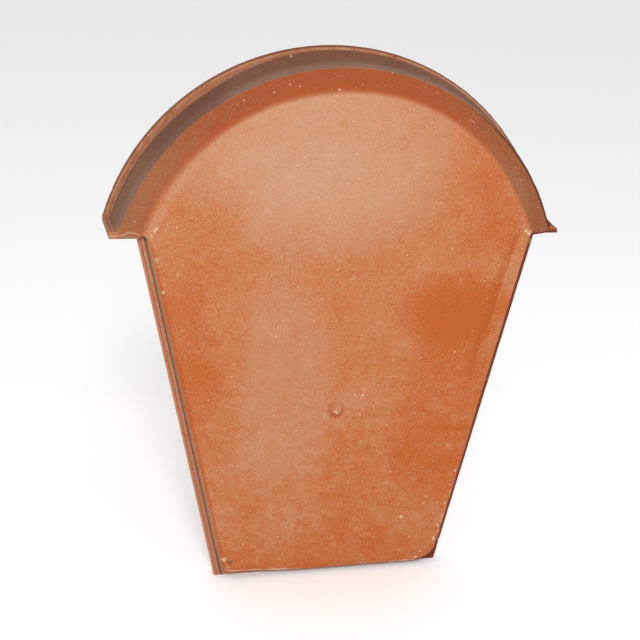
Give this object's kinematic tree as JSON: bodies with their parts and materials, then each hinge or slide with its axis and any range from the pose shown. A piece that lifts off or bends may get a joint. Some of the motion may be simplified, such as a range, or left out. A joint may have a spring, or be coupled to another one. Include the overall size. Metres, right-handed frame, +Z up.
{
  "type": "verge end tile",
  "caption": "Unglazed terracotta roof tile that closes the gable end of a rounded ridge: arched collar behind a tapering flat panel.",
  "frame": {"origin": "on the flat back of the panel, straight behind the nail mark on the middle line", "axes": "+Z up towards the top of the arch, -Y out of the panel's face, +Y back along the ridge, +X to the right seen from the front"},
  "size_m": [0.3072, 0.0559, 0.368],
  "materials": {
    "terracotta": "unglazed fired clay, matt, with a pale bloom, fine grain and pale specks"
  },
  "bodies": {
    "root": {"verge_end_tile": "terracotta"}
  },
  "joints": []
}
